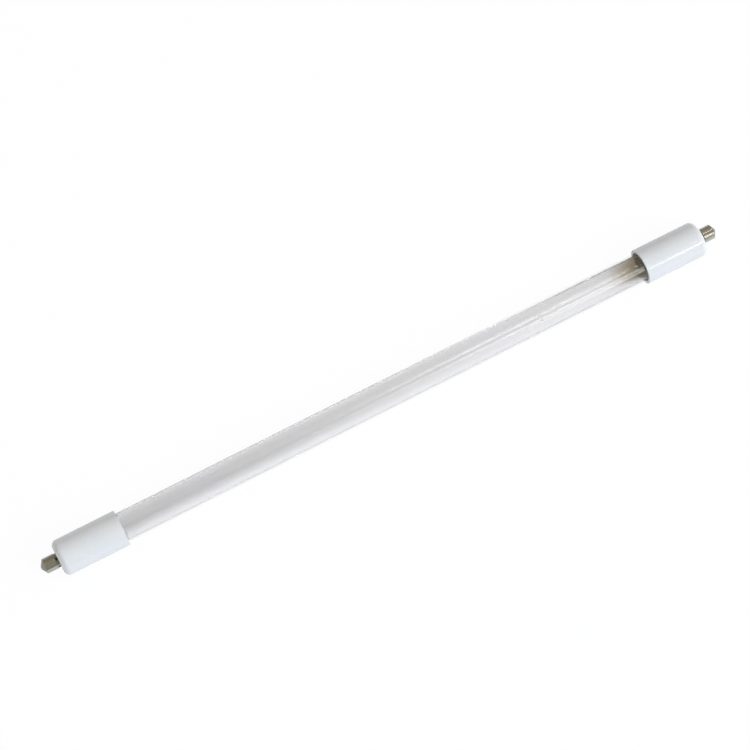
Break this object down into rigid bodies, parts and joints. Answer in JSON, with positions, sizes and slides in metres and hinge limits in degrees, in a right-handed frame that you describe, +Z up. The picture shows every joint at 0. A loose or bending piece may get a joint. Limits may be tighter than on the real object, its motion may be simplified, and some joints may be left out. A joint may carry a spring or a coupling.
{
  "type": "double-ended uv lamp",
  "caption": "Straight clear quartz ultraviolet tube lamp with a ceramic cap and one round contact pin at each end, and a coiled filament inside each end.",
  "frame": {"origin": "on the lamp's axis, midway between its two contact pins", "axes": "+X along the lamp's axis towards the right pin, +Z up, +Y to the back"},
  "size_m": [0.375, 0.0186, 0.0186],
  "materials": {
    "quartz": "clear fused quartz, smoky near the ends",
    "cap_ceramic": "smooth off-white, satin gloss",
    "pin_nickel": "turned brass with bright nickel plating",
    "washer_steel": "plain bright steel",
    "solder": "dull tin",
    "cement": "matte cream basing cement",
    "filament_tungsten": "grey tungsten under a white oxide coat",
    "foil_molybdenum": "matte silver foil",
    "rod_metal": "drawn, slightly dark",
    "wire_nickel": "drawn nickel wire",
    "mercury": "bright liquid metal"
  },
  "bodies": {
    "root": {"quartz_tube": "quartz", "ceramic_cap_left": "cap_ceramic", "contact_pin_left": "pin_nickel", "pin_washer_left": "washer_steel", "pin_solder_left": "solder", "base_cement_left": "cement", "filament_left": "filament_tungsten", "seal_foil_left_front": "foil_molybdenum", "lead_rod_left_front": "rod_metal", "lead_wire_left_front": "wire_nickel", "seal_foil_left_back": "foil_molybdenum", "lead_rod_left_back": "rod_metal", "lead_wire_left_back": "wire_nickel", "ceramic_cap_right": "cap_ceramic", "contact_pin_right": "pin_nickel", "pin_washer_right": "washer_steel", "pin_solder_right": "solder", "base_cement_right": "cement", "filament_right": "filament_tungsten", "seal_foil_right_front": "foil_molybdenum", "lead_rod_right_front": "rod_metal", "lead_wire_right_front": "wire_nickel", "seal_foil_right_back": "foil_molybdenum", "lead_rod_right_back": "rod_metal", "lead_wire_right_back": "wire_nickel", "mercury_drop": "mercury"}
  },
  "joints": []
}
